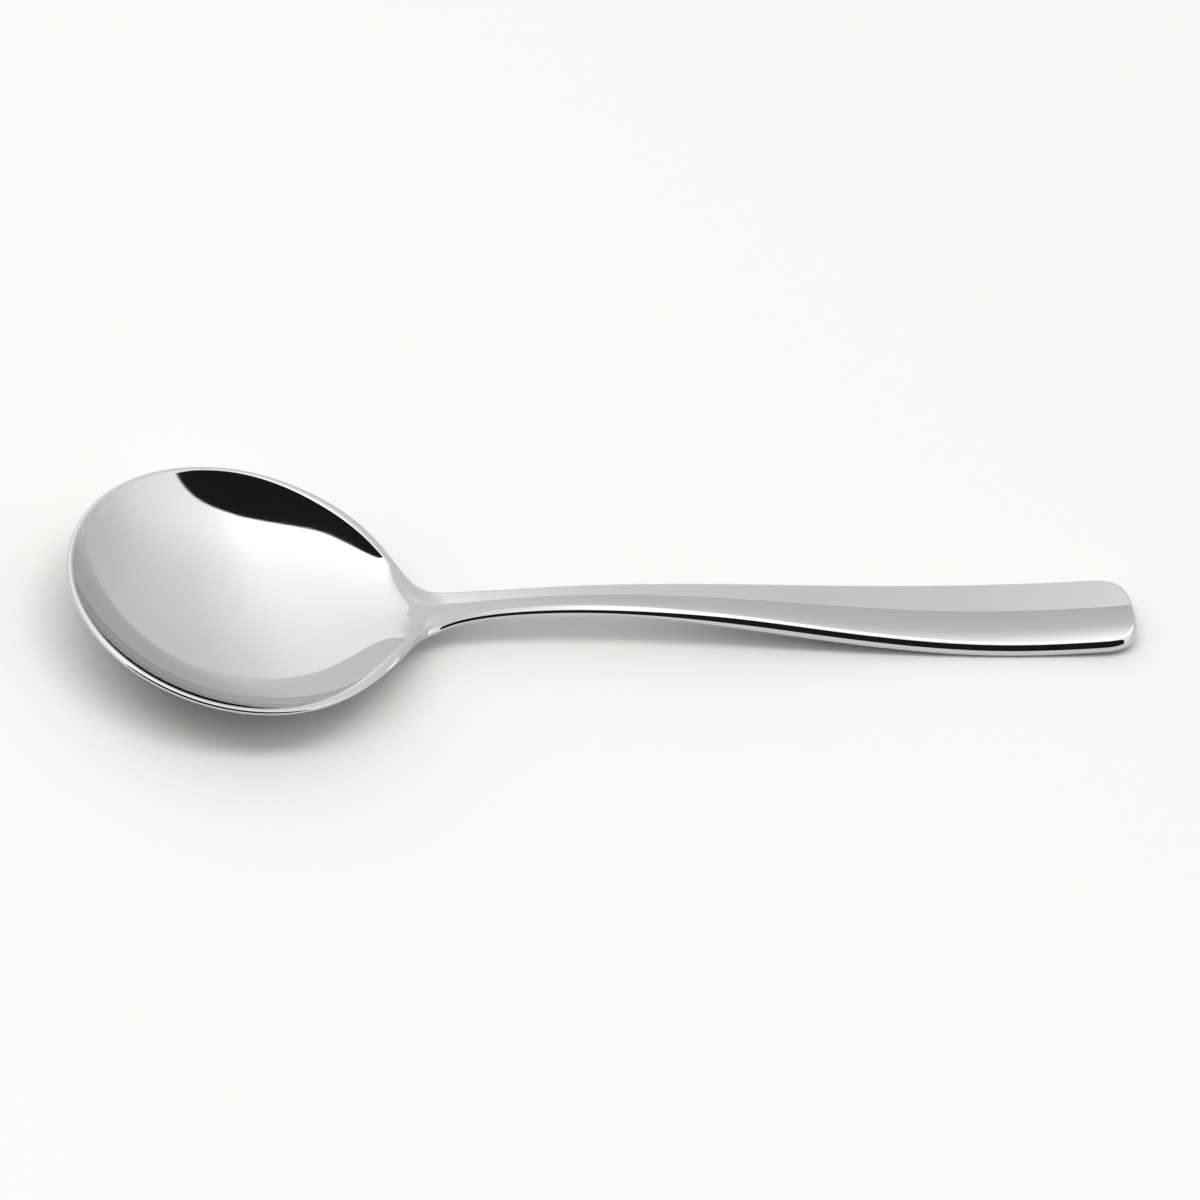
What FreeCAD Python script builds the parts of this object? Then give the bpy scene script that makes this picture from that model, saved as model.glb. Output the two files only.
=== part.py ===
import FreeCAD, Part
import math
import os

# A round-bowled soup spoon of polished stainless steel, lying on a table.  All lengths are millimetres.
# X runs along the spoon from the bowl's tip to the handle's end, Z is up and the table is Z = 0.
# The origin is on the table, under the middle of the overall length and width.
# Stations are distances from the tip of the bowl.

# overall
overall_length = 178.0      # tip of the bowl to the end of the handle
neck_station = 63.0         # end of the bowl's tongue, where the domed handle begins

# bowl, seen from above: the front half is an ellipse
bowl_width = 47.9           # across the rim
bowl_front = 27.0           # tip to the widest place
shoulder_fall = [(0.21, 0.957), (0.41, 0.821), (0.58, 0.621), (0.72, 0.387), (0.83, 0.177), (0.93, 0.064),
                 (1.06, 0.018)]
# back half: share of the way from the widest place to the neck, share of the half width that is left

# handle, seen from above
neck_width = 5.2            # narrowest place
narrowest_station = 74.0
handle_width = 13.7         # widest place, near the end
widest_station = 162.0
end_reach = 7.6             # length of the rounded end, from where the sides stop being straight
end_squareness = 3.2        # 2 makes the end a plain ellipse, more makes its corners squarer

# side view: heights of the middle of the edge above the table
tip_height = 12.7           # at the tip of the bowl
rim_height = 11.1           # at the bowl's widest place
heel_drops = [(0.46, 0.139), (0.63, 0.25), (0.77, 0.625), (0.89, 1.09)]
# share of the way from the widest place to the neck, share of the drop from rim_height to saddle_height
saddle_height = 5.55        # at the neck station
rise_height = 6.8           # on the way up from the neck to the arch
rise_station = 70.0
arch_height = 7.7           # top of the handle's arch
arch_station = 84.0
slope_height = 4.33         # half way down the handle
slope_station = 120.0
rest_station = 156.0        # where the handle touches the table
end_lift = 1.25             # how far the underside stands off the table at the handle's end

# thickness and roundness
bottom_wall = 1.6           # wall at the bottom of the bowl
rim_wall = 1.0              # wall at the rim, which is fully rounded
rim_lean = 42.0             # slope of the bowl's wall at the rim, in degrees
fullness = 0.2              # 0 makes the dish a plain paraboloid, more makes its bottom flatter
tongue_rise = [(0.30, 0.175), (0.58, 0.60), (0.75, 0.865), (0.89, 0.955)]
# inside of the dish on the centre line: share of the way to the neck, share of the height gained there
neck_edge = 1.6             # thickness of the rounded edge at the neck
handle_edge = 2.5           # the same half way down the handle and beyond
neck_belly = 0.8            # how far the underside of the neck is rounded down
edge_slant = 0.7            # 0 makes the handle's edge a plain round, more moves its widest place down
slant_return = 0.8          # share of the slant given back low down, which keeps the width as it is
neck_round = 1.2            # how far in the edge's rounding reaches at the neck
handle_round = 1.25         # the same further along the handle
dome_share = 0.15           # height of the domed top as a share of the flat's half width
thin_share = 0.6            # share of the way to the neck where the rim's edge begins to thicken
leaning_share = 0.5         # the same for where it begins to stand up level
outline_fade = 3.0          # on each side of the neck the edge turns square to the centre line over this length

# fineness of the net of lines that each skin follows
front_rows = 14
back_rows = 16
handle_rows = 26
end_rows = 8
back_crowding = 1.4         # 1 spaces the rows evenly, more crowds them towards the neck
handle_crowding = 0.8       # 0 spaces the rows evenly, 1 crowds them most towards both ends
across = 10                 # steps from one edge of the top or underside to the other
degree = 3                  # of every curve and surface
slope_step = 0.01           # distance over which slopes are measured
touching = 1e-9             # points nearer than this count as one


def ramp(station, start, end):
    """Rises from 0 to 1 with level ends."""
    share = min(max((station - start) / (end - start), 0.0), 1.0)
    return share * share * (3.0 - 2.0 * share)


def through(points, place, start_slope, end_slope):
    """Height at a place on the smooth curve that passes through the points with the given end slopes."""
    last = len(points) - 1
    gaps = [points[i + 1][0] - points[i][0] for i in range(last)]
    rises = [(points[i + 1][1] - points[i][1]) / gaps[i] for i in range(last)]
    factors = [0.0]
    slopes = [start_slope]
    for i in range(1, last):
        weight = 2.0 * (gaps[i - 1] + gaps[i]) - gaps[i] * factors[i - 1]
        pull = 3.0 * (rises[i - 1] * gaps[i] + rises[i] * gaps[i - 1])
        factors.append(gaps[i - 1] / weight)
        slopes.append((pull - gaps[i] * slopes[i - 1]) / weight)
    slopes.append(end_slope)
    for i in range(last - 1, 0, -1):
        slopes[i] -= factors[i] * slopes[i + 1]
    span = 0
    while span < last - 1 and place > points[span + 1][0]:
        span += 1
    share = (place - points[span][0]) / gaps[span]
    bend = share * share * (3.0 - 2.0 * share)
    lead = share * (1.0 - share) ** 2 * slopes[span] - share * share * (1.0 - share) * slopes[span + 1]
    return points[span][1] * (1.0 - bend) + points[span + 1][1] * bend + lead * gaps[span]


def half_width(station):
    """Plan outline: ellipse, shoulders, neck, then the slowly widening handle."""
    widest = bowl_width / 2.0
    narrowest = neck_width / 2.0
    if station < bowl_front:
        return widest * math.sqrt(max(0.0, 1.0 - (1.0 - station / bowl_front) ** 2))
    if station < narrowest_station:
        back = neck_station - bowl_front
        share = (station - bowl_front) / back
        neck_end = (narrowest_station - bowl_front) / back
        fall = through([(0.0, 1.0)] + shoulder_fall + [(neck_end, 0.0)], share, 0.0, 0.0)
        return narrowest + (widest - narrowest) * fall
    return narrowest + (handle_width / 2.0 - narrowest) * ramp(station, narrowest_station, widest_station)


def edge_middle(station):
    """Side view: height of the middle of the edge."""
    half_edge = handle_edge / 2.0
    if station > rest_station:
        return half_edge + end_lift * ((station - rest_station) / (overall_length - rest_station)) ** 2
    back = neck_station - bowl_front
    line = [(0.0, tip_height), (bowl_front, rim_height)]
    drop = rim_height - saddle_height
    line += [(bowl_front + way * back, rim_height - share * drop) for way, share in heel_drops]
    line += [(neck_station, saddle_height), (rise_station, rise_height), (arch_station, arch_height)]
    line += [(slope_station, slope_height), (rest_station, half_edge)]
    return through(line, station, (rim_height - tip_height) / bowl_front, 0.0)


def edge_half(station):
    """Half the thickness of the edge, which grows from the rim to the neck and again down the handle."""
    start = bowl_front + thin_share * (neck_station - bowl_front)
    at_neck = rim_wall + (neck_edge - rim_wall) * ramp(station, start, neck_station)
    return (at_neck + (handle_edge - neck_edge) * ramp(station, arch_station, slope_station)) / 2.0


def round_reach(station):
    at_neck = rim_wall / 2.0 + (neck_round - rim_wall / 2.0) * ramp(station, bowl_front, neck_station)
    return at_neck + (handle_round - neck_round) * ramp(station, neck_station, slope_station)


def lean(station):
    """Tilt of the rounded edge, which stands square to the bowl's wall and level along the handle."""
    start = bowl_front + leaning_share * (neck_station - bowl_front)
    return math.radians(rim_lean) * (1.0 - ramp(station, start, neck_station))


def flat_half(station):
    """Half width of the domed top, inside the rounded edge."""
    return half_width(station) - round_reach(station)


def dome_centre(station):
    return edge_middle(station) + edge_half(station) + dome_share * flat_half(station)


def dish(share):
    """Depth of the dish at a share of the way out from its bottom: 1 at the bottom, 0 at the rim."""
    return 1.0 - (1.0 - fullness) * share ** 2 - fullness * share ** 4


def climb(start, end, end_slope, station):
    """Centre line from the bottom of the bowl to the neck."""
    back = neck_station - bowl_front
    line = [(0.0, start)] + [(share, start + gain * (end - start)) for share, gain in tongue_rise] + [(1.0, end)]
    return through(line, (station - bowl_front) / back, 0.0, end_slope * back)


def slope_of(height, station):
    return (height(station + slope_step) - height(station - slope_step)) / (2.0 * slope_step)


def handle_underside(station, offset=0.0):
    """Height of the handle's underside: rounded under the neck and the arch, flat from there on."""
    belly = neck_belly * (1.0 - ramp(station, arch_station, slope_station))
    return edge_middle(station) - edge_half(station) - belly * (1.0 - (offset / flat_half(station)) ** 2)


def top_centre(station, edge_height, front_edge):
    """Height of the top on the centre line, from the height of the edge at the same station."""
    if station < bowl_front:
        out = (bowl_front - station) / (bowl_front - front_edge)
        return edge_height - (edge_height - bottom_wall) * dish(min(out, 1.0))
    if station < neck_station:
        slope = slope_of(dome_centre, neck_station)
        return climb(bottom_wall, dome_centre(neck_station), slope, station)
    return dome_centre(station)


def underside_centre(station, edge_height, front_edge):
    """The same for the underside, which rests on the table under the bowl."""
    if station < bowl_front:
        out = (bowl_front - station) / (bowl_front - front_edge)
        return edge_height * (1.0 - dish(min(out, 1.0)))
    if station < neck_station:
        slope = slope_of(handle_underside, neck_station)
        return climb(0.0, handle_underside(neck_station), slope, station)
    return handle_underside(station)


def section(edge_height, centre_height, share):
    """Height across a section, at a share of the way from the centre line to the edge."""
    depth = edge_height - centre_height
    rise = 1.0 - share * share
    if depth <= 0.0:
        return edge_height - depth * rise
    lift = 1.0 + fullness
    full = min(depth / (rim_height - bottom_wall), 1.0)
    here = 2.0 * full / (lift + math.sqrt(lift * lift - 4.0 * fullness * full))
    return edge_height - depth * (lift * rise - fullness * here * rise * rise) / (lift - fullness * here)


def spoon_point(station, offset, height):
    """A point of the spoon in its own frame, from its station and its distance from the centre line."""
    return FreeCAD.Vector(station - overall_length / 2.0, offset, height)


def edge_arc(place, outward, middle, half, reach, tilt, side):
    """Control points of the half turn round the edge, from the top to the underside.

    outward points away from the spoon in plan, and tilt turns the whole arc to stand square to the wall.
    """
    round_bulge = 4.0 / 3.0  # how far out the control points of a half circle lie, in radii
    start = bowl_front + leaning_share * (neck_station - bowl_front)
    slant = edge_slant * ramp(place[0], start, arch_station)
    upper = round_bulge - slant
    lower = round_bulge + slant_return * slant
    arc = []
    for end, forward in ((1.0, 0.0), (1.0, upper), (-1.0, lower), (-1.0, 0.0)):
        out = reach * (forward * math.cos(tilt) - end * math.sin(tilt) - 1.0)
        height = middle + half * (forward * math.sin(tilt) + end * math.cos(tilt))
        arc.append(spoon_point(place[0] + outward[0] * out, side * (place[1] + outward[1] * out), height))
    return arc


def across_line(corner, height_at):
    """Control points of the line across the spoon from a corner's mirror image on the left to the corner."""
    shares = [2.0 * step / across - 1.0 for step in range(across + 1)]
    return line_through([FreeCAD.Vector(corner.x, share * corner.y, height_at(share)) for share in shares])


def square_to(slope):
    """Plan direction square to an outline of this slope, away from the spoon."""
    length = math.sqrt(slope * slope + 1.0)
    return -slope / length, 1.0 / length


def bowl_row(place, outward):
    """Control points at one place of the bowl's outline: right edge, top, underside and left edge."""
    station = place[0]
    size = (edge_middle(station), edge_half(station), round_reach(station), lean(station))
    right = edge_arc(place, outward, *size, 1.0)
    left = edge_arc(place, outward, *size, -1.0)
    tip_reach = rim_wall / 2.0
    tip_tilt = math.sin(math.radians(rim_lean))
    rows = []
    for corner, centre_at, start in (
        (right[0], top_centre, tip_reach * (1.0 + tip_tilt)),
        (right[-1], underside_centre, tip_reach * (1.0 - tip_tilt)),
    ):
        centre = centre_at(corner.x + overall_length / 2.0, corner.z, start)
        rows.append(across_line(corner, lambda share: section(corner.z, centre, share)))
    return right, rows[0], rows[1], left


def bowl_net():
    rows = []
    for step in range(front_rows):
        turn = math.pi / 2.0 * step / front_rows
        along = -math.cos(turn) / bowl_front
        aside = math.sin(turn) / (bowl_width / 2.0)
        length = math.hypot(along, aside)
        station = bowl_front * (1.0 - math.cos(turn))
        rows.append(bowl_row((station, half_width(station)), (along / length, aside / length)))
    for step in range(back_rows + 1):
        share = 1.0 - (1.0 - step / back_rows) ** back_crowding
        station = bowl_front + share * (neck_station - bowl_front)
        fade = 1.0 - ramp(station, neck_station - outline_fade, neck_station)
        slope = slope_of(half_width, station) * fade if step else 0.0
        rows.append(bowl_row((station, half_width(station)), square_to(slope)))
    return rows


def dome(station, offset):
    """Height of the handle's top."""
    flat = flat_half(station)
    edge = edge_middle(station) + edge_half(station)
    return edge + dome_share * flat * (1.0 - (offset / flat) ** 2)


def handle_row(place, outward):
    """Control points at one place of the handle's outline.  The edge is as thick as the handle is there."""
    reach = round_reach(place[0])
    station = place[0] - outward[0] * reach
    offset = place[1] - outward[1] * reach
    top = dome(station, offset)
    underside = handle_underside(station, offset)
    size = ((top + underside) / 2.0, (top - underside) / 2.0, reach, 0.0)
    right = edge_arc(place, outward, *size, 1.0)
    left = edge_arc(place, outward, *size, -1.0)
    over = across_line(right[0], lambda share: dome(station, share * offset))
    under = across_line(right[-1], lambda share: handle_underside(station, share * offset))
    return right, over, under, left


def handle_net():
    rows = []
    end_start = overall_length - end_reach
    for step in range(handle_rows):
        share = step / handle_rows
        eased = handle_crowding * ramp(share, 0.0, 1.0) + (1.0 - handle_crowding) * share
        station = neck_station + (end_start - neck_station) * eased
        slope = slope_of(half_width, station) * ramp(station, neck_station, neck_station + outline_fade)
        rows.append(handle_row((station, half_width(station)), square_to(slope)))
    widest = half_width(end_start)
    for step in range(end_rows + 1):
        turn = math.pi / 2.0 * step / end_rows
        along, aside = math.sin(turn), max(math.cos(turn), 0.0)
        size = (along ** end_squareness + aside ** end_squareness) ** (-1.0 / end_squareness)
        place = (end_start + end_reach * size * along, widest * size * aside)
        lean_x = (size * along) ** (end_squareness - 1.0) / end_reach
        lean_y = (size * aside) ** (end_squareness - 1.0) / widest
        length = math.hypot(lean_x, lean_y)
        rows.append(handle_row(place, (lean_x / length, lean_y / length)))
    return rows


def line_through(points):
    """Control points of the smooth line through evenly numbered points."""
    if max(points[0].distanceToPoint(point) for point in points) < touching:
        return [points[0]] * (len(points) + degree - 1)  # a row that has shrunk to one point
    curve = Part.BSplineCurve()
    curve.interpolate(Points=points, Parameters=[float(i) for i in range(len(points))])
    return curve.getPoles()


def knots_for(poles):
    """Knots and their multiplicities for a smooth line with these control points."""
    spans = len(poles) - degree
    return [float(i) for i in range(spans + 1)], [degree + 1] + [1] * (spans - 1) + [degree + 1]


def skin(rows):
    """Smooth face that follows rows of control points across the spoon."""
    columns = [line_through([row[i] for row in rows]) for i in range(len(rows[0]))]
    poles = [list(line) for line in zip(*columns)]
    long_knots, long_counts = knots_for(columns[0])
    cross_knots, cross_counts = knots_for(rows[0])
    surface = Part.BSplineSurface()
    surface.buildFromPolesMultsKnots(
        poles, long_counts, cross_counts, long_knots, cross_knots, False, False, degree, degree)
    return surface.toShape()


def border(poles):
    """Edge with these control points, matching the end of the skin beside it."""
    knots, counts = knots_for(poles)
    curve = Part.BSplineCurve()
    curve.buildFromPolesMultsKnots(poles, counts, knots, False, degree)
    return curve.toShape()


def closed_solid(net, cut):
    """Solid inside the four skins of a net and the flat face across its cut row."""
    faces = [skin(rows) for rows in zip(*net)]
    faces.append(Part.Face(Part.Wire(Part.__sortEdges__([border(poles) for poles in cut]))))
    shell = Part.Shell(faces)
    shell.sewShape()
    solid = Part.Solid(shell)
    if solid.Volume < 0.0:
        solid.reverse()
    return solid


def bowl():
    rows = bowl_net()
    return closed_solid(rows, rows[-1])


def handle():
    rows = handle_net()
    return closed_solid(rows, rows[0])


os.makedirs("parts", exist_ok=True)
bowl().exportStep("parts/bowl.step")
handle().exportStep("parts/handle.step")
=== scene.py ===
import math
import bpy
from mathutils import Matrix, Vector


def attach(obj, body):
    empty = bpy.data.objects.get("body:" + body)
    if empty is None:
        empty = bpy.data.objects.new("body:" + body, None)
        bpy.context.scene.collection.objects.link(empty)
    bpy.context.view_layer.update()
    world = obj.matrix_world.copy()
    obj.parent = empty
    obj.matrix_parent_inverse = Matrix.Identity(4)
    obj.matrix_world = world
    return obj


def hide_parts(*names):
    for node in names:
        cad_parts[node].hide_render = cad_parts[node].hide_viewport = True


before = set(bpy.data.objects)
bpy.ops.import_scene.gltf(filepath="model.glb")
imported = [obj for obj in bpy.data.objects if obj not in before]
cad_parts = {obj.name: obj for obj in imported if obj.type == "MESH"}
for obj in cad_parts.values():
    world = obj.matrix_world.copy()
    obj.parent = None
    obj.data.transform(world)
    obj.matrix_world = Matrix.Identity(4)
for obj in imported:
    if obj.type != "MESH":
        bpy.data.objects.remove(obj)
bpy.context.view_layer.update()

mm = 0.001  # the form is written in millimetres and the scene is in metres

# stations are counted from the tip of the bowl
bowlForm = {
    "width": 47.9,  # across the rim
    "front": 27.0,  # tip to the widest place, half an ellipse
    "shoulders": [(0.21, 0.957), (0.41, 0.821), (0.58, 0.621), (0.72, 0.387), (0.83, 0.177), (0.93, 0.064),
                  (1.06, 0.018)],  # way to the neck, half width left
    "tipHeight": 12.6995,
    "rimHeight": 11.1,
    "heelDrops": [(0.46, 0.139), (0.63, 0.25), (0.77, 0.625), (0.89, 1.09)],  # way, share of the whole drop
    "bottomWall": 1.6,
    "rimWall": 1.0,
    "rimLean": 42.0,  # degrees
    "levelsFrom": 0.5,  # way to the neck where the rim starts to stand level
    "thickensFrom": 0.6,
    "fullness": 0.2,  # 0 is a plain paraboloid
    "tongue": [(0.30, 0.175), (0.58, 0.60), (0.75, 0.865), (0.89, 0.955)],  # way to the neck, height gained
}

handleForm = {
    "neck": 63.0,
    "neckWidth": 5.2,
    "narrowest": 74.0,
    "width": 13.7,
    "widest": 162.0,
    "end": 178.0,  # the whole spoon's length
    "endReach": 7.6,
    "endSquareness": 3.2,  # 2 is an ellipse
    "saddleHeight": 5.55,
    "rise": (70.0, 6.8),  # station, height of the middle of the edge
    "arch": (84.0, 7.7),
    "slope": (120.0, 4.33),
    "rest": 156.0,
    "endLift": 1.25,
    "edge": 2.5,  # thickness
    "neckEdge": 1.6,
    "neckBelly": 0.8,  # how far the underside of the neck is rounded down
    "edgeSlant": 0.7,  # 0 is a plain round, more moves the widest place down
    "slantBelow": 0.8,  # share of the slant that the lower half of the edge gains
    "neckRound": 1.2,
    "round": 1.25,
    "straight": 3.0,  # the rings stand square to the spoon this near the neck
    "dome": 0.15,  # share of the flat's half width
    "ridge": 0.7,  # 0 is a plain dome, 1 two flat faces that meet on the centre line
    "ridgeRound": 0.03,
    "ridgeFrom": (63.0, 65.5),  # the ridge grows out of the tongue
}

bowlBack = handleForm["neck"] - bowlForm["front"]


def ramp(place, start, end):
    share = min(max((place - start) / (end - start), 0.0), 1.0)
    return share * share * (3.0 - 2.0 * share)


def smoothLine(points, place, startSlope, endSlope):  # the same curve a thin batten would take
    last = len(points) - 1
    gaps = [points[i + 1][0] - points[i][0] for i in range(last)]
    rises = [(points[i + 1][1] - points[i][1]) / gaps[i] for i in range(last)]
    factors, slopes = [0.0], [startSlope]
    for i in range(1, last):
        weight = 2.0 * (gaps[i - 1] + gaps[i]) - gaps[i] * factors[i - 1]
        factors.append(gaps[i - 1] / weight)
        pull = 3.0 * (rises[i - 1] * gaps[i] + rises[i] * gaps[i - 1])
        slopes.append((pull - gaps[i] * slopes[i - 1]) / weight)
    slopes.append(endSlope)
    for i in range(last - 1, 0, -1):
        slopes[i] -= factors[i] * slopes[i + 1]
    span = 0
    while span < last - 1 and place > points[span + 1][0]:
        span += 1
    share = (place - points[span][0]) / gaps[span]
    bend = share * share * (3.0 - 2.0 * share)
    lead = share * (1.0 - share) ** 2 * slopes[span] - share * share * (1.0 - share) * slopes[span + 1]
    return points[span][1] * (1.0 - bend) + points[span + 1][1] * bend + lead * gaps[span]


def slopeOf(line, s, step=0.01):
    return (line(s + step) - line(s - step)) / (2.0 * step)


def stationAt(way):  # 0 at the bowl's widest place, 1 at the neck
    return bowlForm["front"] + way * bowlBack


def halfWidth(s):
    bowlHalf, neckHalf = bowlForm["width"] / 2.0, handleForm["neckWidth"] / 2.0
    if s < bowlForm["front"]:
        return bowlHalf * math.sqrt(max(0.0, 1.0 - (1.0 - s / bowlForm["front"]) ** 2))
    if s < handleForm["narrowest"]:
        neckEnd = (handleForm["narrowest"] - bowlForm["front"]) / bowlBack
        line = [(0.0, 1.0)] + bowlForm["shoulders"] + [(neckEnd, 0.0)]
        left = smoothLine(line, (s - bowlForm["front"]) / bowlBack, 0.0, 0.0)
        return neckHalf + (bowlHalf - neckHalf) * left
    widening = ramp(s, handleForm["narrowest"], handleForm["widest"])
    return neckHalf + (handleForm["width"] / 2.0 - neckHalf) * widening


def edgeMiddle(s):  # height of the middle of the edge
    halfEdge = handleForm["edge"] / 2.0
    if s > handleForm["rest"]:
        past = (s - handleForm["rest"]) / (handleForm["end"] - handleForm["rest"])
        return halfEdge + handleForm["endLift"] * past ** 2
    tip, rim, saddle = bowlForm["tipHeight"], bowlForm["rimHeight"], handleForm["saddleHeight"]
    line = [(0.0, tip), (bowlForm["front"], rim)]
    line += [(stationAt(way), rim - share * (rim - saddle)) for way, share in bowlForm["heelDrops"]]
    line += [(handleForm["neck"], saddle), handleForm["rise"], handleForm["arch"], handleForm["slope"]]
    line += [(handleForm["rest"], halfEdge)]
    return smoothLine(line, s, (rim - tip) / bowlForm["front"], 0.0)


def edgeHalf(s):  # half the edge's thickness
    rim, neck = bowlForm["rimWall"] / 2.0, handleForm["neckEdge"] / 2.0
    half = rim + (neck - rim) * ramp(s, stationAt(bowlForm["thickensFrom"]), handleForm["neck"])
    return half + (handleForm["edge"] / 2.0 - neck) * ramp(s, handleForm["arch"][0], handleForm["slope"][0])


def roundReach(s):  # how far in the edge's rounding starts
    rim, neck = bowlForm["rimWall"] / 2.0, handleForm["neckRound"]
    reach = rim + (neck - rim) * ramp(s, bowlForm["front"], handleForm["neck"])
    return reach + (handleForm["round"] - neck) * ramp(s, handleForm["neck"], handleForm["slope"][0])


def lean(s):
    level = ramp(s, stationAt(bowlForm["levelsFrom"]), handleForm["neck"])
    return math.radians(bowlForm["rimLean"]) * (1.0 - level)


def roof(s, share):  # two faces that meet on a slightly rounded ridge
    soft = handleForm["ridgeRound"]
    tent = 1.0 - (math.hypot(share, soft) - soft) / (math.hypot(1.0, soft) - soft)
    ridge = handleForm["ridge"] * ramp(s, *handleForm["ridgeFrom"])
    return ridge * tent + (1.0 - ridge) * (1.0 - share * share)


def handleTop(s, offset=0.0):
    flat = halfWidth(s) - roundReach(s)
    return edgeMiddle(s) + edgeHalf(s) + handleForm["dome"] * flat * roof(s, offset / flat)


def handleUnder(s, offset=0.0):
    belly = handleForm["neckBelly"] * (1.0 - ramp(s, handleForm["arch"][0], handleForm["slope"][0]))
    return edgeMiddle(s) - edgeHalf(s) - belly * (1.0 - (offset / (halfWidth(s) - roundReach(s))) ** 2)


def dish(share):  # 1 at the bottom, 0 at the rim
    full = bowlForm["fullness"]
    return 1.0 - (1.0 - full) * share ** 2 - full * share ** 4


def climb(start, end, endSlope, s):  # up the tongue
    line = [(0.0, start)] + [(way, start + gain * (end - start)) for way, gain in bowlForm["tongue"]]
    return smoothLine(line + [(1.0, end)], (s - bowlForm["front"]) / bowlBack, 0.0, endSlope * bowlBack)


def bowlCentre(s, edgeHeight, frontEdge, floor, neckLine):
    if s < bowlForm["front"]:
        out = (bowlForm["front"] - s) / (bowlForm["front"] - frontEdge)
        return edgeHeight - (edgeHeight - floor) * dish(min(out, 1.0))
    return climb(floor, neckLine(handleForm["neck"]), slopeOf(neckLine, handleForm["neck"]), s)


def section(edgeHeight, centreHeight, share):  # fuller than a parabola where the bowl is deep
    depth = edgeHeight - centreHeight
    hump = 1.0 - share * share
    if depth <= 0.0:
        return edgeHeight - depth * hump
    fullness, lift = bowlForm["fullness"], 1.0 + bowlForm["fullness"]
    full = min(depth / (bowlForm["rimHeight"] - bowlForm["bottomWall"]), 1.0)
    here = 2.0 * full / (lift + math.sqrt(lift * lift - 4.0 * fullness * full))
    part = fullness * here
    return edgeHeight - depth * (lift * hump - part * hump * hump) / (lift - part)


meshing = {
    "front": 64,  # rings, from the tip to the end of the handle
    "back": 84,
    "handle": 150,
    "end": 26,
    "across": 92,  # faces on the top, and on the underside
    "around": 14,  # faces round each edge
    "evenAcross": 0.35,  # 1 is evenly spaced, less brings points nearer to the edges
    "evenAlong": 0.3,  # less brings rings nearer to the neck and the end
    "closing": 1.25,  # more brings rings nearer to the neck
    "weld": 0.002,  # millimetres
    "cutSlack": 0.001,
}

halfCircle = 4.0 / 3.0  # the bulge that makes an edge plain round


def edgeArc(place, outward, middle, half, reach, tilt, side):
    slanting = ramp(place[0], stationAt(bowlForm["levelsFrom"]), handleForm["arch"][0])
    slant = handleForm["edgeSlant"] * slanting
    upper, lower = halfCircle - slant, halfCircle + handleForm["slantBelow"] * slant
    arc = []
    for step in range(meshing["around"] + 1):
        t = step / meshing["around"]
        forward = 3.0 * t * (1.0 - t) * ((1.0 - t) * upper + t * lower)
        end = 1.0 - 2.0 * t * t * (3.0 - 2.0 * t)
        out = reach * (forward * math.cos(tilt) - end * math.sin(tilt) - 1.0)
        arc.append((place[0] + outward[0] * out, side * (place[1] + outward[1] * out),
                    middle + half * (forward * math.sin(tilt) + end * math.cos(tilt))))
    return arc


def acrossShares():
    even = meshing["evenAcross"]
    steps = [2.0 * step / meshing["across"] - 1.0 for step in range(meshing["across"] + 1)]
    return [even * t + (1.0 - even) * math.sin(math.pi / 2.0 * t) for t in steps]


def wrapRing(right, left, topHeight, underHeight):  # from the left top corner round to the left top corner
    top, under = right[0], right[-1]
    ring = [(top[0], share * top[1], topHeight(share)) for share in acrossShares()]
    ring += right[1:]
    ring += [(under[0], -share * under[1], underHeight(share)) for share in acrossShares()][1:]
    return ring + left[::-1][1:]


def bowlRing(place, outward):
    s = place[0]
    size = (edgeMiddle(s), edgeHalf(s), roundReach(s), lean(s))
    right, left = edgeArc(place, outward, *size, 1.0), edgeArc(place, outward, *size, -1.0)
    rim, tilt = bowlForm["rimWall"] / 2.0, math.sin(math.radians(bowlForm["rimLean"]))
    top, under = right[0], right[-1]
    topCentre = bowlCentre(top[0], top[2], rim * (1.0 + tilt), bowlForm["bottomWall"], handleTop)
    underCentre = bowlCentre(under[0], under[2], rim * (1.0 - tilt), 0.0, handleUnder)
    return wrapRing(right, left, lambda share: section(top[2], topCentre, share),
                    lambda share: section(under[2], underCentre, share))


def handleRing(place, outward):
    reach = roundReach(place[0])
    s, offset = place[0] - outward[0] * reach, place[1] - outward[1] * reach
    top, under = handleTop(s, offset), handleUnder(s, offset)
    size = ((top + under) / 2.0, (top - under) / 2.0, reach, 0.0)
    right, left = edgeArc(place, outward, *size, 1.0), edgeArc(place, outward, *size, -1.0)
    return wrapRing(right, left, lambda share: handleTop(s, share * offset),
                    lambda share: handleUnder(s, share * offset))


def unit(along, aside):
    length = math.hypot(along, aside)
    return along / length, aside / length


def frontRings():
    rings = []
    for step in range(meshing["front"]):
        turn = math.pi / 2.0 * step / meshing["front"]
        s = bowlForm["front"] * (1.0 - math.cos(turn))
        outward = unit(-math.cos(turn) / bowlForm["front"], math.sin(turn) / (bowlForm["width"] / 2.0))
        rings.append(bowlRing((s, halfWidth(s)), outward))
    return rings


def backRings():
    neck, rings = handleForm["neck"], []
    for step in range(meshing["back"]):
        s = stationAt(1.0 - (1.0 - step / meshing["back"]) ** meshing["closing"])
        turning = 1.0 - ramp(s, neck - handleForm["straight"], neck)
        slope = slopeOf(halfWidth, s) * turning if step else 0.0
        rings.append(bowlRing((s, halfWidth(s)), unit(-slope, 1.0)))
    return rings


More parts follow.
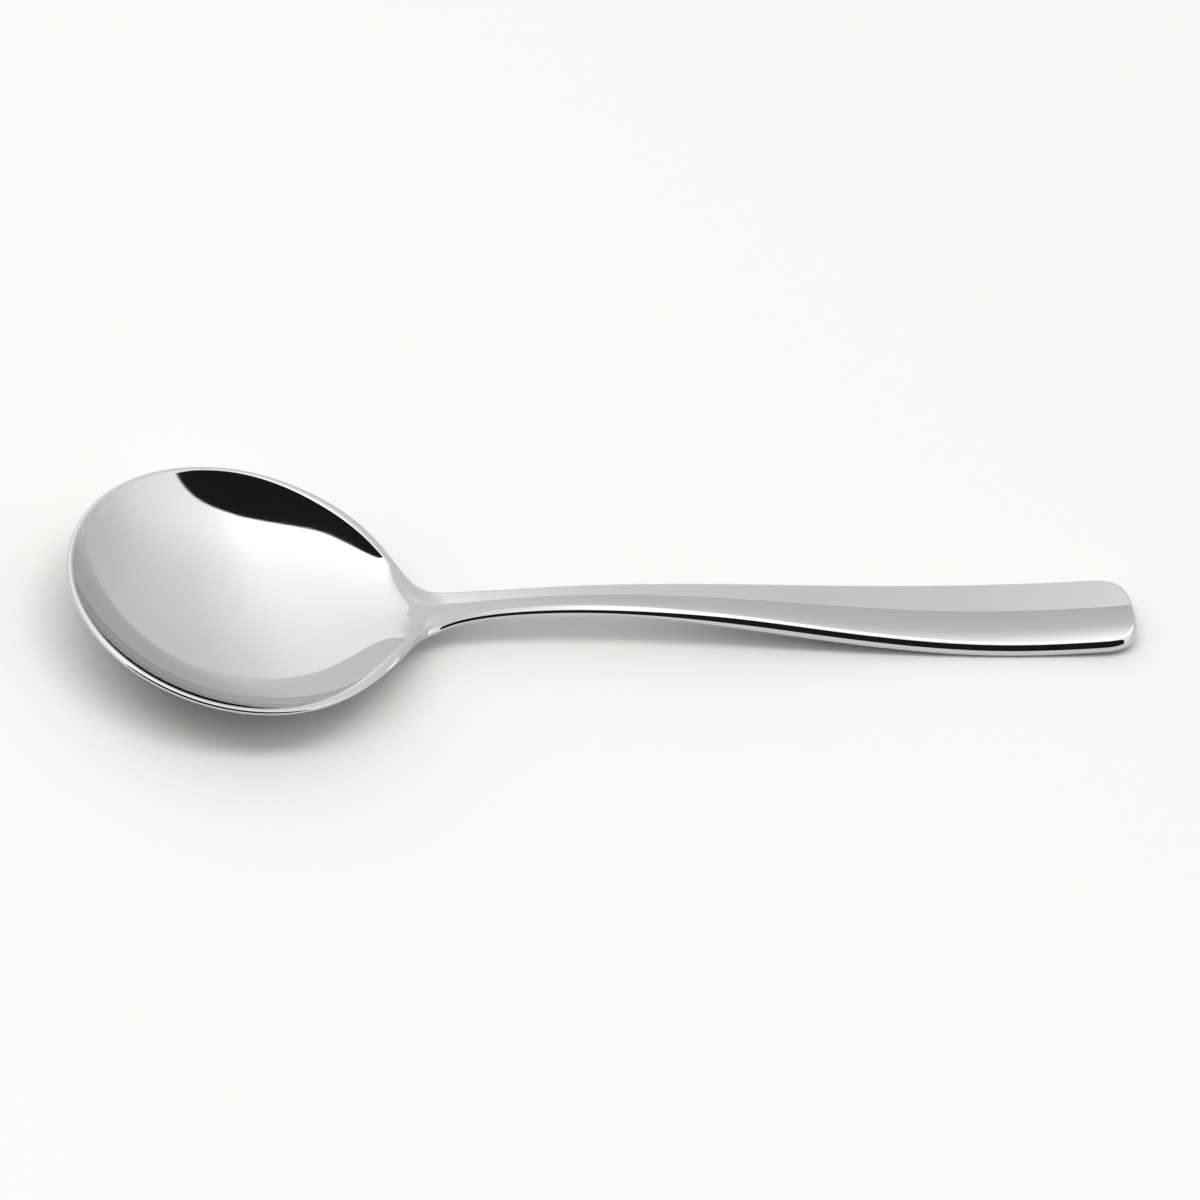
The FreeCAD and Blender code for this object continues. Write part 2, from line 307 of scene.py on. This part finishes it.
def handleRings(endStart):
    neck, even, rings = handleForm["neck"], meshing["evenAlong"], []
    for step in range(meshing["handle"]):
        share = step / meshing["handle"]
        s = neck + (endStart - neck) * ((1.0 - even) * ramp(share, 0.0, 1.0) + even * share)
        slope = slopeOf(halfWidth, s) * ramp(s, neck, neck + handleForm["straight"])
        rings.append(handleRing((s, halfWidth(s)), unit(-slope, 1.0)))
    return rings


def endRings(endStart):
    reach, widest, power = handleForm["endReach"], halfWidth(endStart), handleForm["endSquareness"]
    rings = []
    for step in range(meshing["end"] + 1):
        turn = math.pi / 2.0 * step / meshing["end"]
        along, aside = math.sin(turn), max(math.cos(turn), 0.0)
        size = (along ** power + aside ** power) ** (-1.0 / power)
        place = (endStart + reach * size * along, widest * size * aside)
        outward = unit((size * along) ** (power - 1.0) / reach, (size * aside) ** (power - 1.0) / widest)
        rings.append(handleRing(place, outward))
    return rings


def cleanStart():
    bpy.ops.object.select_all(action="DESELECT")


def pressSpoon():  # a flat sheet as long as the spoon and as wide as its girth, laid round it
    cleanStart()
    endStart = handleForm["end"] - handleForm["endReach"]
    rings = frontRings() + backRings() + handleRings(endStart) + endRings(endStart)
    girth = len(rings[0]) - 1
    bpy.ops.mesh.primitive_grid_add(x_subdivisions=girth, y_subdivisions=len(rings) - 1, size=1.0,
                                    location=(0.0, 0.0, 0.0))
    blank = bpy.context.object
    blank.name = "spoonBlank"
    for v in blank.data.vertices:
        ring = round((v.co.y + 0.5) * (len(rings) - 1))
        station, offset, height = rings[ring][round((v.co.x + 0.5) * girth)]
        v.co = ((station - handleForm["end"] / 2.0) * mm, offset * mm, height * mm)
    bpy.ops.object.mode_set(mode="EDIT")
    bpy.ops.mesh.select_all(action="SELECT")
    bpy.ops.mesh.remove_doubles(threshold=meshing["weld"] * mm)  # closes the long seam, the tip and the end
    bpy.ops.mesh.normals_make_consistent(inside=False)
    bpy.ops.object.mode_set(mode="OBJECT")
    for face in blank.data.polygons:
        face.use_smooth = True
    keep = blank.data.attributes.new("skinNormal", "FLOAT_VECTOR", "POINT")
    for v, kept in zip(blank.data.vertices, keep.data):
        kept.vector = v.normal
    print("pressed:", len(blank.data.vertices), "points,", len(blank.data.polygons), "faces")
    return blank


def cutPiece(blank, name, ahead):  # ahead is +1 for the part past the neck and -1 for the bowl
    cleanStart()
    piece = blank.copy()
    piece.data = blank.data.copy()
    piece.name = piece.data.name = name
    bpy.context.collection.objects.link(piece)
    bpy.context.view_layer.objects.active = piece
    piece.select_set(True)
    neckX = (handleForm["neck"] - handleForm["end"] / 2.0) * mm
    bpy.ops.object.mode_set(mode="EDIT")
    bpy.ops.mesh.select_mode(type="VERT")
    bpy.ops.mesh.select_all(action="DESELECT")
    bpy.ops.object.mode_set(mode="OBJECT")
    for v in piece.data.vertices:
        v.select = (v.co.x - neckX) * ahead < -meshing["cutSlack"] * mm
    bpy.ops.object.mode_set(mode="EDIT")
    bpy.ops.mesh.delete(type="VERT")
    bpy.ops.mesh.select_all(action="DESELECT")
    bpy.ops.mesh.select_non_manifold(extend=False, use_boundary=True, use_wire=False, use_multi_face=False,
                                     use_non_contiguous=False, use_verts=False)
    bpy.ops.mesh.edge_face_add()
    bpy.ops.mesh.normals_make_consistent(inside=False)
    bpy.ops.object.mode_set(mode="OBJECT")
    shadeAsOne(piece.data)
    print(name, "has", len(piece.data.polygons), "faces")
    return piece


def shadeAsOne(mesh):  # both pieces keep the whole skin's shading, so no line shows at the neck
    skin = [Vector(kept.vector) for kept in mesh.attributes["skinNormal"].data]
    normals = []
    for face in mesh.polygons:
        cut = len(face.vertices) > 4  # the flat face at the neck
        face.use_smooth = not cut
        normals += [face.normal.copy() if cut else skin[i] for i in face.vertices]
    mesh.normals_split_custom_set(normals)
    mesh.attributes.remove(mesh.attributes["skinNormal"])


def noise(nodes, links, place, scale, detail):
    pattern = nodes.new("ShaderNodeTexNoise")
    pattern.inputs["Scale"].default_value = scale
    pattern.inputs["Detail"].default_value = detail
    links.new(place, pattern.inputs["Vector"])
    return pattern.outputs["Fac"]


def mathNode(nodes, links, operation, first, second):
    node = nodes.new("ShaderNodeMath")
    node.operation = operation
    for socket, value in zip(node.inputs, (first, second)):
        if isinstance(value, float):
            socket.default_value = value
        else:
            links.new(value, socket)
    return node.outputs["Value"]


def mapRange(nodes, links, value, before, after, kind="LINEAR"):
    node = nodes.new("ShaderNodeMapRange")
    node.interpolation_type = kind
    for name, number in zip(("From Min", "From Max", "To Min", "To Max"), (*before, *after)):
        node.inputs[name].default_value = number
    links.new(value, node.inputs["Value"])
    return node.outputs["Result"]


def profile(nodes, links, way, points):  # a smooth curve through brightnesses, over -1 to 1
    curve = nodes.new("ShaderNodeValToRGB")
    curve.color_ramp.interpolation = "B_SPLINE"
    stops = curve.color_ramp.elements
    brightest = max(tone for _, tone in points)
    while len(stops) < len(points):
        stops.new(0.5)
    for stop, (place, tone) in zip(stops, points):
        stop.position = (place + 1.0) / 2.0
        stop.color = (tone / brightest, tone / brightest, tone / brightest, 1.0)
    half = mathNode(nodes, links, "MULTIPLY", way, 0.5)
    links.new(mathNode(nodes, links, "ADD", half, 0.5), curve.inputs["Fac"])
    return mathNode(nodes, links, "MULTIPLY", curve.outputs["Color"], brightest)


steel = {
    "colour": (0.60, 0.60, 0.596, 1.0),
    "dull": (0.57, 0.57, 0.568, 1.0),  # where fingers and washing have taken some of the shine
    "roughness": (0.025, 0.065),
    "marks": (90.0, 1500.0, 1500.0),  # fine polishing lines along the spoon
    "markDetail": 4.0,
    "smears": 45.0,  # larger dull patches
    "smearDetail": 3.0,
    "wear": (0.12, 0.42),  # marks times smears, from the shiniest to the dullest
    "waviness": 0.015,
    "relief": 0.05,  # millimetres
}


def polishedSteel(name):
    material = bpy.data.materials.new(name)
    material.use_nodes = True
    nodes, links = material.node_tree.nodes, material.node_tree.links
    shader = nodes["Principled BSDF"]
    shader.inputs["Metallic"].default_value = 1.0
    place = nodes.new("ShaderNodeTexCoord").outputs["Object"]
    stretch = nodes.new("ShaderNodeMapping")
    stretch.inputs["Scale"].default_value = steel["marks"]
    links.new(place, stretch.inputs["Vector"])
    marks = noise(nodes, links, stretch.outputs["Vector"], 1.0, steel["markDetail"])
    smears = noise(nodes, links, place, steel["smears"], steel["smearDetail"])
    worn = mathNode(nodes, links, "MULTIPLY", marks, smears)
    links.new(mapRange(nodes, links, worn, steel["wear"], steel["roughness"]), shader.inputs["Roughness"])
    tint = nodes.new("ShaderNodeMix")
    tint.data_type = "RGBA"
    tint.inputs["A"].default_value = steel["colour"]
    tint.inputs["B"].default_value = steel["dull"]
    links.new(smears, tint.inputs["Factor"])
    links.new(tint.outputs["Result"], shader.inputs["Base Color"])
    relief = nodes.new("ShaderNodeBump")
    relief.inputs["Strength"].default_value = steel["waviness"]
    relief.inputs["Distance"].default_value = steel["relief"] * mm
    links.new(marks, relief.inputs["Height"])
    links.new(relief.outputs["Normal"], shader.inputs["Normal"])
    print("steel ready")
    return material


table = {
    "size": 8.0,
    "tone": 0.60,
    "blue": 0.993,  # share of the tone, a very slightly warm white
    "roughness": 0.7,
}


def layTable():
    cleanStart()
    bpy.ops.mesh.primitive_plane_add(size=table["size"], location=(0.0, 0.0, 0.0))
    floor = bpy.context.object
    floor.name = "table"
    material = bpy.data.materials.new("paleTable")
    material.use_nodes = True
    shader = material.node_tree.nodes["Principled BSDF"]
    shader.inputs["Base Color"].default_value = (table["tone"], table["tone"],
                                                 table["blue"] * table["tone"], 1.0)
    shader.inputs["Roughness"].default_value = table["roughness"]
    shader.inputs["Specular IOR Level"].default_value = 0.0
    floor.data.materials.append(material)


keyLight = {
    "from": (-0.60, -0.12, 1.6),  # it points straight down
    "width": 2.2,
    "depth": 0.35,
    "power": 19.0,
}


def hangKeyLight():
    light = bpy.data.lights.new("keyLight", "AREA")
    light.shape = "RECTANGLE"
    light.size = keyLight["width"]
    light.size_y = keyLight["depth"]
    light.energy = keyLight["power"]
    lamp = bpy.data.objects.new("keyLight", light)
    lamp.location = keyLight["from"]
    lamp.visible_camera = lamp.visible_glossy = False
    bpy.context.collection.objects.link(lamp)


card = {
    "left": -0.030,
    "right": 0.115,
    "near": -0.015,
    "far": 0.012,
    "height": 0.020,
    "tones": [(-0.015, 1.9), (-0.006, 1.9), (-0.002, 1.8), (0.0, 1.2), (0.0015, 0.9), (0.003, 0.80),
              (0.006, 0.76), (0.012, 0.70)],  # near side to far side
    "leftTone": 0.95,
    "fade": 0.012,  # where the left end has faded in
}


def hangCard():  # a small card over the handle, for its reflection only
    cleanStart()
    bpy.ops.mesh.primitive_plane_add(size=1.0, location=(0.0, 0.0, 0.0))
    plane = bpy.context.object
    plane.name = "card"
    for v in plane.data.vertices:
        v.co = (card["right"] if v.co.x > 0.0 else card["left"],
                card["far"] if v.co.y > 0.0 else card["near"], card["height"])
    material = bpy.data.materials.new("card")
    material.use_nodes = True
    nodes, links = material.node_tree.nodes, material.node_tree.links
    nodes.remove(nodes["Principled BSDF"])
    place = nodes.new("ShaderNodeTexCoord")
    split = nodes.new("ShaderNodeSeparateXYZ")
    links.new(place.outputs["Object"], split.inputs["Vector"])
    depth = card["far"] - card["near"]
    way = mathNode(nodes, links, "SUBTRACT", split.outputs["Y"], (card["far"] + card["near"]) / 2.0)
    way = mathNode(nodes, links, "MULTIPLY", way, 2.0 / depth)
    points = [(2.0 * (y - card["near"]) / depth - 1.0, tone) for y, tone in card["tones"]]
    tone = profile(nodes, links, way, points)
    shown = mapRange(nodes, links, split.outputs["X"], (card["left"], card["fade"]), (0.0, 1.0),
                     "SMOOTHSTEP")
    change = mathNode(nodes, links, "SUBTRACT", tone, card["leftTone"])
    change = mathNode(nodes, links, "MULTIPLY", change, shown)
    glow = nodes.new("ShaderNodeEmission")
    links.new(mathNode(nodes, links, "ADD", change, card["leftTone"]), glow.inputs["Color"])
    links.new(glow.outputs["Emission"], nodes["Material Output"].inputs["Surface"])
    plane.data.materials.append(material)
    plane.visible_camera = plane.visible_diffuse = plane.visible_shadow = False


room = {
    "sideways": [(-1.0, 0.7), (-0.6, 0.85), (-0.4, 1.0), (-0.02, 1.0), (0.12, 0.95), (0.25, 0.80),
                 (0.42, 0.69), (0.65, 0.64), (0.85, 0.60), (1.0, 0.5)],  # brightness, left wall to right
    "ahead": [(-1.0, 2.0), (-0.5, 2.05), (-0.3, 1.9), (-0.1, 1.66), (0.15, 1.56), (0.45, 1.48),
              (0.75, 1.36), (1.0, 1.30)],  # the same from behind the camera to the far wall
    "opening": 0.015,  # brightness of the unlit side
    "around": 4.0,  # more than any wall's
    "middle": (-0.35, 0.35),  # of the opening, across and up, in distances to the near wall
    "half": (1.32, 1.58),
    "soft": 0.10,
    "nearest": 0.001,  # keeps the opening off the far half of the room
}


def paintRoom():  # bright overhead and to the left, greyer to the right, unlit on the camera's side
    world = bpy.data.worlds.new("room")
    bpy.context.scene.world = world
    world.use_nodes = True
    nodes, links = world.node_tree.nodes, world.node_tree.links
    sky = nodes["Background"]
    place = nodes.new("ShaderNodeTexCoord")
    split = nodes.new("ShaderNodeSeparateXYZ")
    links.new(place.outputs["Generated"], split.inputs["Vector"])
    across, ahead, up = split.outputs["X"], split.outputs["Y"], split.outputs["Z"]
    light = mathNode(nodes, links, "MULTIPLY", profile(nodes, links, across, room["sideways"]),
                     profile(nodes, links, ahead, room["ahead"]))
    nearness = mathNode(nodes, links, "MAXIMUM", mathNode(nodes, links, "MULTIPLY", ahead, -1.0),
                        room["nearest"])
    reach = []
    for side, middle, half in zip((across, up), room["middle"], room["half"]):
        wall = mathNode(nodes, links, "DIVIDE", side, nearness)
        away = mathNode(nodes, links, "DIVIDE", mathNode(nodes, links, "SUBTRACT", wall, middle), half)
        reach.append(mathNode(nodes, links, "MULTIPLY", away, away))
    reach = mathNode(nodes, links, "ADD", reach[0], reach[1])
    unlit = mapRange(nodes, links, reach, (1.0 - room["soft"], 1.0 + room["soft"]),
                     (room["opening"], room["around"]), "SMOOTHSTEP")
    links.new(mathNode(nodes, links, "MINIMUM", light, unlit), sky.inputs["Color"])
    sky.inputs["Strength"].default_value = 1.0


cameraSet = {
    "aim": (-0.0007, 0.0019, 0.005),
    "azimuth": -30.09,
    "elevation": 48.48,
    "distance": 1.8651,
    "roll": 22.74,
    "lens": 360.0,
    "seesTo": 20.0,
}


def placeCamera():
    turn, rise = math.radians(cameraSet["azimuth"]), math.radians(cameraSet["elevation"])
    back = Vector((math.sin(turn) * math.cos(rise), -math.cos(turn) * math.cos(rise), math.sin(rise)))
    lens = bpy.data.cameras.new("camera")
    lens.lens = cameraSet["lens"]
    lens.clip_end = cameraSet["seesTo"]
    camera = bpy.data.objects.new("camera", lens)
    bpy.context.collection.objects.link(camera)
    camera.location = Vector(cameraSet["aim"]) + back * cameraSet["distance"]
    aimed = (-back).to_track_quat("-Z", "Y").to_matrix()
    roll = math.radians(cameraSet["roll"])
    right, up = aimed.col[0].copy(), aimed.col[1].copy()
    aimed.col[0] = right * math.cos(roll) + up * math.sin(roll)
    aimed.col[1] = up * math.cos(roll) - right * math.sin(roll)
    camera.rotation_mode = "QUATERNION"
    camera.rotation_quaternion = aimed.to_quaternion()
    bpy.context.scene.camera = camera
    print("camera placed")


placeCamera()
steelSkin = polishedSteel("polishedSteel")
blank = pressSpoon()
for name, ahead in (("bowl", -1), ("handle", 1)):
    piece = cutPiece(blank, "spoon_" + name, ahead)
    piece.data.materials.append(steelSkin)
    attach(piece, "root")
    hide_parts(name)
bpy.data.objects.remove(blank)
layTable()
hangKeyLight()
hangCard()
paintRoom()
bpy.context.scene.view_settings.view_transform = "Standard"
bpy.context.view_layer.update()
print("studio ready")
